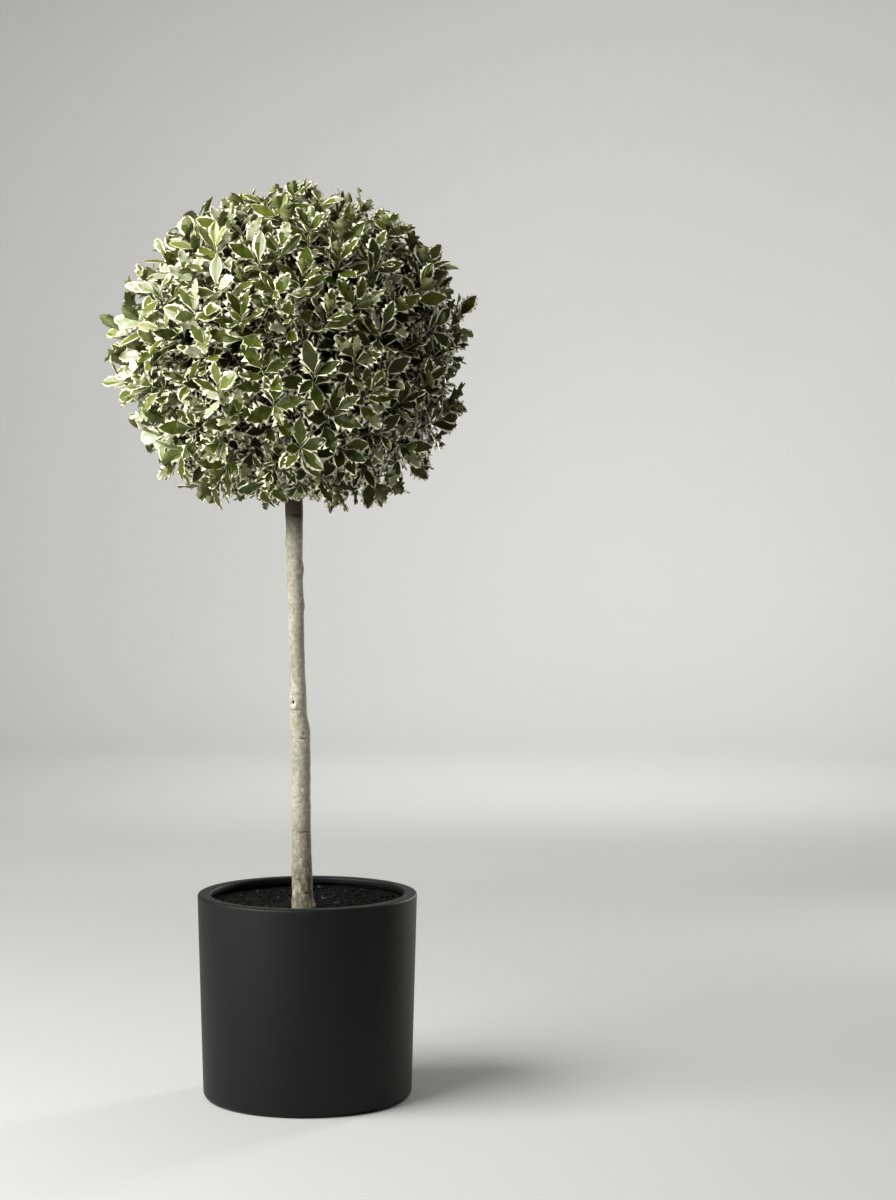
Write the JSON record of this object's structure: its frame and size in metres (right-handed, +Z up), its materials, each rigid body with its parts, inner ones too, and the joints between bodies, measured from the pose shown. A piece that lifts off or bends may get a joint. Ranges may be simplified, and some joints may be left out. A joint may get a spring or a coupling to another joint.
{
  "type": "potted variegated holly topiary, ball on a clear stem",
  "caption": "Clipped ball of variegated holly on a slim clear stem, standing in a round matt black planter.",
  "frame": {"origin": "middle of the flat underside of the planter, where it stands on the ground", "axes": "+Z up along the stem, +X to the right as seen from the front, +Y away from the front"},
  "size_m": [0.7043, 0.7063, 1.7819],
  "materials": {
    "pot": "satin",
    "potting_mix": "matte",
    "bark": "matte",
    "foliage": "satin"
  },
  "bodies": {
    "root": {"pot": "pot", "potting_mix": "potting_mix", "stem": "bark", "leader": "bark", "bough_upper_1": "bark", "bough_upper_2": "bark", "bough_upper_3": "bark", "bough_upper_4": "bark", "bough_upper_5": "bark", "bough_lower_1": "bark", "bough_lower_2": "bark", "bough_lower_3": "bark", "bough_lower_4": "bark", "bough_lower_5": "bark", "foliage_top": "foliage", "foliage_upper_1": "foliage", "foliage_upper_2": "foliage", "foliage_upper_3": "foliage", "foliage_upper_4": "foliage", "foliage_upper_5": "foliage", "foliage_lower_1": "foliage", "foliage_lower_2": "foliage", "foliage_lower_3": "foliage", "foliage_lower_4": "foliage", "foliage_lower_5": "foliage"}
  },
  "joints": []
}
